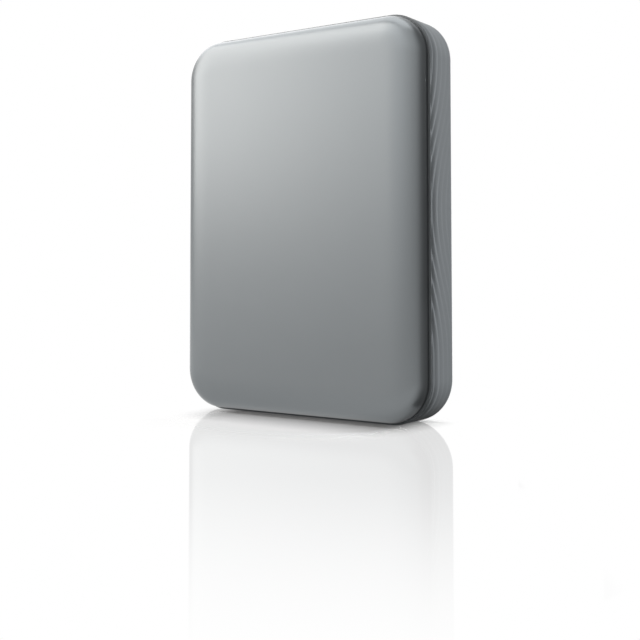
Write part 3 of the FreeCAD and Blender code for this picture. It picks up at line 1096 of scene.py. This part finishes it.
@dataclass
class DataPort(Assembly):
    """The port in the top end and the window of the activity light, in mm.

    Attributes:
        middle: Middle of the port across and in depth.
        size: Length and width of its shell.
        wall: Wall of the shell.
        low: Height of the shell's foot.
        high: Height of its mouth.
        mouth_steps: Steps round the mouth's roll.
        pipe: Middle of the light's pipe.
        pipe_radius: Radius of the pipe.
        flange: Radius and height of the pipe's flange.
        pipe_low: Height of the pipe's foot.
        pipe_high: Height of its outer end.
        dome: Round of its outer end.
        dome_steps: Steps along that round.
    """

    middle: Pair = (0.0, 3.17)
    size: Pair = (8.94, 3.26)
    wall: float = 0.3
    low: float = 112.15
    high: float = 119.5
    mouth_steps: int = 8
    pipe: Pair = (11.0, 4.0)
    pipe_radius: float = 0.8
    flange: Pair = (1.5, 0.6)
    pipe_low: float = 117.3
    pipe_high: float = 120.0
    dome: float = 0.25
    dome_steps: int = 5

    def shell(self) -> bpy.types.Object:
        """Makes the drawn shell.

        Returns:
            The shell, with a rolled mouth.
        """
        roll = self.wall / 2
        turns = [math.pi * step / self.mouth_steps for step in range(1, self.mouth_steps + 1)]
        section = [(0.0, self.low), (0.0, self.high - roll)]
        section += [(-roll + roll * math.cos(a), self.high - roll + roll * math.sin(a)) for a in turns]
        section += [(-self.wall, self.low)]
        rings = [slot_ring(self.middle, self.size, grow, z) for grow, z in section]
        return placed("port_sleeve", smoothed(lofted("port_sleeve", rings, looped=True)))

    def window(self) -> bpy.types.Object:
        """Makes the clear pipe.

        Returns:
            The pipe, with a flange at its foot and a domed outer end.
        """
        wide, thick = self.flange
        shoulder = self.pipe_high - self.dome
        section = [(wide, self.pipe_low), (wide, self.pipe_low + thick),
                   (self.pipe_radius, self.pipe_low + thick), (self.pipe_radius, shoulder)]
        turns = [math.pi / 2 * step / self.dome_steps for step in range(1, self.dome_steps + 1)]
        section += [(self.pipe_radius - self.dome + self.dome * math.cos(a), shoulder + self.dome * math.sin(a))
                    for a in turns]
        rings = [slot_ring(self.pipe, (2 * radius,) * 2, 0.0, z) for radius, z in section]
        return placed("light_window", smoothed(lofted("light_window", rings)))

    def build(self) -> list[bpy.types.Object]:
        """Builds the shell and the light's window."""
        return [self.mount(self.shell(), Slot.PORT, ["port_shell"]),
                self.mount(self.window(), Slot.PIPE, ["light_pipe"])]

    def dress(self) -> list[str]:
        """Dresses the tongue and its contacts."""
        return self.coat({"port_tongue": Slot.CONNECTOR, "port_contacts": Slot.CONTACT})


@dataclass
class Inside(Assembly):
    """The drive module, the bridge board and the bumpers inside the case.

    Attributes:
        flash_count: Memory chips on the module's board.
        bumper_count: Bumpers at its corners.
    """

    flash_count: int = 4
    bumper_count: int = 4

    def build(self) -> list[bpy.types.Object]:
        """Builds nothing: the nodes' own shapes are right."""
        return []

    def dress(self) -> list[str]:
        """Dresses every node inside the case.

        Returns:
            The nodes' names.
        """
        slots = {
            "module_tray": Slot.MODULE, "module_lid": Slot.MODULE, "module_board": Slot.BOARD,
            "controller_chip": Slot.CHIP, "cache_chip": Slot.CHIP, "thermal_pad": Slot.PAD,
            "module_plug": Slot.CONNECTOR, "bridge_socket": Slot.CONNECTOR, "bridge_board": Slot.BOARD,
            "bridge_chip": Slot.CHIP, "bridge_coil": Slot.COIL, "bridge_capacitors": Slot.CAPACITOR,
            "activity_light": Slot.LIGHT,
        }
        slots |= {f"flash_chip_{number}": Slot.CHIP for number in range(1, self.flash_count + 1)}
        slots |= {f"corner_bumper_{number}": Slot.BUMPER for number in range(1, self.bumper_count + 1)}
        return self.coat(slots)


class Reach(Enum):
    """What a lamp lights."""

    ALL = "all"
    GLOSS = "gloss"
    MATT = "matt"
    FLOOR = "floor"


@dataclass(frozen=True)
class SoftLamp:
    """A soft lamp with a rectangular face, turned to the drive.

    Attributes:
        name: The lamp's name.
        side: Angle to the right of straight ahead of the front, degrees.
        rise: Angle above the floor, degrees.
        away: Distance, metres.
        size: Width and height of its face, metres.
        level: Brightness of its face.
        reach: What it lights.
        tint: Its colour.
    """

    name: str
    side: float
    rise: float
    away: float
    size: Pair
    level: float
    reach: Reach
    tint: Colour = WHITE

    def build(self, target: Vector, floor: bpy.types.Object) -> bpy.types.Object:
        """Makes the lamp.

        Args:
            target: The point that it faces.
            floor: The floor, which is all that some lamps light.

        Returns:
            The lamp.
        """
        light = bpy.data.lights.new(self.name, "AREA")
        light.shape = "RECTANGLE"
        light.size, light.size_y = self.size
        light.energy = self.level * self.size[0] * self.size[1] * math.pi
        light.color = self.tint
        made = placed(self.name, light)
        aim = direction(self.side, self.rise)
        made.location = target + aim * self.away
        made.rotation_euler = (-aim).to_track_quat("-Z", "Y").to_euler()
        made.visible_camera = False
        made.visible_diffuse = self.reach is not Reach.GLOSS
        made.visible_glossy = self.reach in (Reach.ALL, Reach.GLOSS)
        if self.reach is Reach.FLOOR:
            lit = bpy.data.collections.new(self.name + "_receivers")
            lit.objects.link(floor)
            made.light_linking.receiver_collection = lit
        return made


@dataclass(frozen=True)
class GradedCard:
    """A card bent round the drive's right, pale at its front end and dark at its back end.

    Only gloss shows it.

    Attributes:
        name: The card's name.
        start: Angle of its front end to the right of straight ahead, degrees.
        end: Angle of its back end.
        away: Distance from the drive, metres.
        height: Height, metres.
        tones: Brightness at shares of its length.
        level: Brightness of its palest tone.
        foot: Share of the brightness at its foot.
        foot_height: Height over which that goes, metres.
        steps: Steps along it.
    """

    name: str
    start: float
    end: float
    away: float
    height: float
    tones: tuple[Pair, ...]
    level: float = 1.0
    foot: float = 1.0
    foot_height: float = 0.25
    steps: int = 48

    def material(self) -> bpy.types.Material:
        """Makes the card's graded glow.

        Returns:
            The material.
        """
        made = bpy.data.materials.new(self.name)
        wiring = Wiring.fresh(made)
        share = wiring.add("ShaderNodeAttribute", {"attribute_name": "share"}).outputs["Fac"]
        stops = [(at, (level,) * 3) for at, level in self.tones]
        tone = wiring.add("ShaderNodeValToRGB", {"stops": stops}, {"Fac": share}).outputs[0]
        where = wiring.add("ShaderNodeTexCoord").outputs["Object"]
        height = wiring.out(wiring.add("ShaderNodeSeparateXYZ", None, {0: where}), 2)
        foot, full = wiring.glow(self.level * self.foot, tone), wiring.glow(self.level, tone)
        wiring.end(wiring.blend(height.ease(0.0, self.foot_height), foot, full))
        return made

    def build(self) -> bpy.types.Object:
        """Makes the card.

        Returns:
            The card.
        """
        shares = [step / self.steps for step in range(self.steps + 1)]
        aims = [direction(self.start + (self.end - self.start) * share, 0.0) * self.away for share in shares]
        points = [(aim.x, aim.y, z) for z in (0.0, self.height) for aim in aims]
        row = self.steps + 1
        faces = [(step, step + 1, row + step + 1, row + step) for step in range(self.steps)]
        mesh = bpy.data.meshes.new(self.name)
        mesh.from_pydata(points, [], faces)
        mesh.attributes.new("share", "FLOAT", "POINT").data.foreach_set("value", shares * 2)
        mesh.materials.append(self.material())
        made = placed(self.name, mesh)
        made.visible_camera = False
        made.visible_diffuse = False
        made.visible_shadow = False
        made.visible_transmission = False
        return made


@dataclass(frozen=True)
class FloorPoint:
    """Node values for a point of the floor and the ray that meets it.

    Attributes:
        x: Distance to the right of the drive's middle, metres.
        y: Distance behind it.
        away: Distance from it.
        gloss: 1 for a ray from gloss, else 0.
    """

    x: Value
    y: Value
    away: Value
    gloss: Value


@dataclass(frozen=True)
class PaleFloor:
    """A pale floor that keeps the shadow and mirrors faintly near the drive, in metres; for gloss only it
    carries painted light at its left and foot and painted shade at its right.

    Attributes:
        size: Side of the floor.
        lit: Share of light that it throws back near the drive.
        own: Share of white that it has of its own there.
        reach: Distances from and to which it turns all white.
        ends: Distances to either side from and to which it turns all white.
        middle: Where those distances start, across.
        foot: Depths before the drive's middle from and to which gloss shows it all white.
        foot_gain: How much brighter gloss shows it at the foot, as painted light that only reflections show.
        foot_reach: Depths before the drive's middle from and to which that fades.
        left_gain: How much brighter gloss shows it at the left, on the key lamp's side, as painted light that
            only reflections show.
        left_reach: Distances to the left from and to which that grows.
        back: Share of light that it throws on the drive.
        mirror: Share of mirror at the drive's foot.
        mirror_reach: Distances from and to which that share fades.
        mirror_roughness: Roughness of the mirror.
        lane_side: Angle of the mirroring lane to the right of straight ahead, degrees.
        lane: Half widths from and to which the lane's edge fades.
        sheet: Darkness of the painted shade on the floor at the right, which only gloss shows, so that the
            drive's reflections there go dark.
        sheet_level: Brightness of that painted shade.
        sheet_corner: The point that it fans out from, across and in depth.
        sheet_turn: Angles to the right of straight ahead from and to which it darkens, degrees.
        sheet_side: Angle to the right of straight ahead of its edge near the drive, degrees.
        sheet_edge: Distances past that edge from and to which it darkens.
        sheet_near: Distances from the corner from and to which that edge fades.
    """

    size: float = 8.0
    lit: float = 0.150
    own: float = 0.10
    reach: Pair = (0.034, 0.056)
    ends: Pair = (0.026, 0.043)
    middle: float = 0.004
    foot: Pair = (0.003, 0.009)
    foot_gain: float = 0.25
    foot_reach: Pair = (0.030, 0.100)
    left_gain: float = 0.35
    left_reach: Pair = (0.06, 0.16)
    back: float = 0.03
    mirror: float = 0.26
    mirror_reach: Pair = (0.09, 0.22)
    mirror_roughness: float = 0.04
    lane_side: float = 35.0
    lane: Pair = (0.040, 0.045)
    sheet: float = 0.86
    sheet_level: float = 0.02
    sheet_corner: Pair = (0.045, -0.012)
    sheet_turn: Pair = (45.0, 135.0)
    sheet_side: float = 65.0
    sheet_edge: Pair = (-0.012, 0.020)
    sheet_near: Pair = (0.020, 0.050)

    def bare_share(self, point: FloorPoint) -> Value:
        """Works out where the floor is all white.

        Args:
            point: The point of the floor.

        Returns:
            The share of white.
        """
        sides = abs(point.x - self.middle).ease(*self.ends)
        before = point.gloss * (0.0 - point.y).ease(*self.foot)
        return point.away.ease(*self.reach).most(sides).most(before)

    def bright_share(self, point: FloorPoint) -> Value:
        """Works out where gloss shows the white brighter, as painted light in the drive's reflections.

        Args:
            point: The point of the floor.

        Returns:
            The share of the brightest white.
        """
        left = self.left_gain * (0.0 - point.x).ease(*self.left_reach)
        front = self.foot_gain * (1.0 - (0.0 - point.y).ease(*self.foot_reach))
        return point.gloss * (left + front) / (self.left_gain + self.foot_gain)

    def mirror_share(self, point: FloorPoint) -> Value:
        """Works out the lane in which the floor mirrors.

        Args:
            point: The point of the floor.

        Returns:
            The share of mirror.
        """
        turn = math.radians(self.lane_side)
        lane = 1.0 - abs(point.x * math.cos(turn) + point.y * math.sin(turn)).ease(*self.lane)
        return self.mirror * (1.0 - point.away.ease(*self.mirror_reach)) * lane * (1.0 - point.gloss)

    def sheet_share(self, point: FloorPoint) -> Value:
        """Works out how far the painted shade covers the floor, for gloss only.

        Args:
            point: The point of the floor.

        Returns:
            The share of the sheet.
        """
        x, y = point.x - self.sheet_corner[0], point.y - self.sheet_corner[1]
        start, end = (math.radians(angle) for angle in self.sheet_turn)
        edge = math.radians(self.sheet_side)
        past = x * math.cos(edge) + y * math.sin(edge)
        gap = (x ** 2.0 + y ** 2.0) ** 0.5
        close = past.ease(*self.sheet_edge) * (1.0 - gap.ease(*self.sheet_near))
        return point.gloss * self.sheet * x.angle(0.0 - y).ease(start, end).most(close)

    def material(self) -> bpy.types.Material:
        """Makes the floor's finish.

        Returns:
            The material.
        """
        made = bpy.data.materials.new("floor_pale")
        wiring = Wiring.fresh(made)
        where = wiring.add("ShaderNodeTexCoord").outputs["Object"]
        split = wiring.add("ShaderNodeSeparateXYZ", None, {0: where})
        length = wiring.add("ShaderNodeVectorMath", {"operation": "LENGTH"}, {0: where})
        rays = wiring.add("ShaderNodeLightPath")
        point = FloorPoint(wiring.out(split, 0), wiring.out(split, 1), wiring.out(length, "Value"),
                           wiring.out(rays, "Is Glossy Ray"))
        near = wiring.add("ShaderNodeAddShader", None, {0: wiring.matt(self.lit), 1: wiring.glow(self.own)})
        # Painted light: for gloss only, the white floor glows brighter at the left and at the foot, which
        # lightens the drive's reflections.
        bright = wiring.glow(1.0 + self.left_gain + self.foot_gain)
        white = wiring.blend(self.bright_share(point), wiring.glow(1.0), bright)
        pale = wiring.blend(self.bare_share(point), near.outputs[0], white)
        mirror = wiring.add("ShaderNodeBsdfGlossy", None, {"Color": WHITE, "Roughness": self.mirror_roughness})
        face = wiring.blend(self.mirror_share(point), pale, mirror.outputs[0])
        # Painted shade: for gloss only, the floor at the drive's right turns dark, which darkens the drive's
        # reflections of it.
        shown = wiring.blend(self.sheet_share(point), face, wiring.glow(self.sheet_level))
        wiring.end(wiring.blend(wiring.seen(), wiring.matt(self.back), shown))
        return made

    def build(self) -> bpy.types.Object:
        """Makes the floor.

        Returns:
            The floor.
        """
        half = self.size / 2
        corners = [(-half, -half, 0.0), (half, -half, 0.0), (half, half, 0.0), (-half, half, 0.0)]
        mesh = bpy.data.meshes.new("floor")
        mesh.from_pydata(corners, [], [(0, 1, 2, 3)])
        mesh.materials.append(self.material())
        made = placed("floor", mesh)
        return made


@dataclass
class Studio:
    """The floor, the soft lamps, the cards beside them and the white surround.

    Attributes:
        lamps: The soft lamps.
        cards: The graded cards.
        floor: The floor.
        ambient: Level of the light from all round.
    """

    lamps: tuple[SoftLamp, ...] = (
        SoftLamp("key_lamp", -52.0, 12.0, 1.2, (0.78, 0.335), 4.2, Reach.ALL, WARM),
        SoftLamp("high_lamp", -54.0, 37.5, 1.2, (0.90, 0.75), 3.7, Reach.ALL, WARM),
        SoftLamp("front_lamp", -20.0, 45.0, 0.8, (0.30, 0.40), 0.7, Reach.GLOSS),
        SoftLamp("crown_lamp", -30.0, 88.0, 1.2, (1.0, 0.9), 2.1, Reach.GLOSS),
        SoftLamp("back_lamp", -112.0, 46.0, 1.2, (1.2, 0.9), 1.8, Reach.GLOSS),
        SoftLamp("side_lamp", 146.0, 17.0, 1.0, (0.35, 0.24), 48.0, Reach.MATT),
        SoftLamp("shadow_lamp", 215.0, 86.0, 5.0, (0.30, 1.15), 1220.0, Reach.FLOOR),
    )
    cards: tuple[GradedCard, ...] = (
        GradedCard("side_card", -28.0, 160.0, 0.9, 1.6,
                   ((0.0, 0.86), (0.11, 0.84), (0.20, 0.67), (0.30, 0.59), (0.39, 0.55), (0.47, 0.49),
                    (0.55, 0.37), (0.66, 0.19), (0.76, 0.12), (1.0, 0.085)), 2.6, 0.385, 0.28),
        GradedCard("low_card", 80.0, 165.0, 0.10, 0.035, ((0.0, 0.50), (0.35, 0.22), (1.0, 0.12))),
    )
    floor: PaleFloor = PaleFloor()
    ambient: float = 0.22

    def surround(self) -> None:
        """Makes the white surround, which lights the drive less than it shows."""
        world = bpy.data.worlds.new("surround")
        bpy.context.scene.world = world
        wiring = Wiring.fresh(world)
        lit, white = (wiring.add("ShaderNodeBackground", None, {"Color": WHITE, "Strength": level}).outputs[0]
                      for level in (self.ambient, 1.0))
        both = wiring.blend(wiring.seen(), lit, white)
        wiring.add("ShaderNodeOutputWorld", None, {"Surface": both})

    def build(self, target: Vector) -> None:
        """Sets up the studio.

        Args:
            target: The point that the lamps face.
        """
        floor = self.floor.build()
        self.surround()
        for card in self.cards:
            card.build()
        for lamp in self.lamps:
            lamp.build(target, floor)


@dataclass
class PhotoCamera:
    """The camera, which stands low to the right of the drive's front.

    Attributes:
        target: The point that it goes round, metres.
        side: Angle to the right of straight ahead of the front, degrees.
        tilt: Upward tilt, degrees.
        away: Distance along its level line of sight, metres.
        focal: Focal length in pixels of the image.
        centre: Where its axis meets the image, pixels from the top left.
        image: Side of the image, pixels.
        sensor: Width of its sensor, mm.
        clip: Nearest and farthest distance that it shows, metres.
    """

    target: tuple[float, float, float] = (0.0, -0.0003, 0.060)
    side: float = 34.97
    tilt: float = 2.62
    away: float = 0.33044
    focal: float = 1058.4
    centre: Pair = (310.74, 221.52)
    image: float = 640.0
    sensor: float = 36.0
    clip: Pair = (0.01, 50.0)

    def build(self) -> bpy.types.Object:
        """Makes the camera and sets it as the scene's.

        Returns:
            The camera.
        """
        sight = -direction(self.side, -self.tilt)
        data = bpy.data.cameras.new("photo_camera")
        data.sensor_width = self.sensor
        data.lens = self.focal * self.sensor / self.image
        data.shift_x = 0.5 - self.centre[0] / self.image
        data.shift_y = self.centre[1] / self.image - 0.5
        data.clip_start, data.clip_end = self.clip
        made = placed("photo_camera", data)
        made.location = Vector(self.target) - sight * self.away
        made.rotation_euler = sight.to_track_quat("-Z", "Y").to_euler()
        bpy.context.scene.camera = made
        return made


def main() -> None:
    """Builds the drive's pieces in order, then the studio and the camera."""
    logging.basicConfig(level=logging.INFO, format="%(name)s: %(message)s")
    bpy.context.scene.view_settings.view_transform = "Standard"
    for assembly in (FrontCover(), RearHousing(), RearFeet(), DataPort(), Inside()):
        for piece in assembly.build():
            LOG.info("%s: %d faces", piece.name, len(piece.data.polygons))
        for name in assembly.dress():
            LOG.info("%s: dressed", name)
    camera = PhotoCamera()
    Studio().build(Vector(camera.target))
    camera.build()


if __name__ == "__main__":
    main()
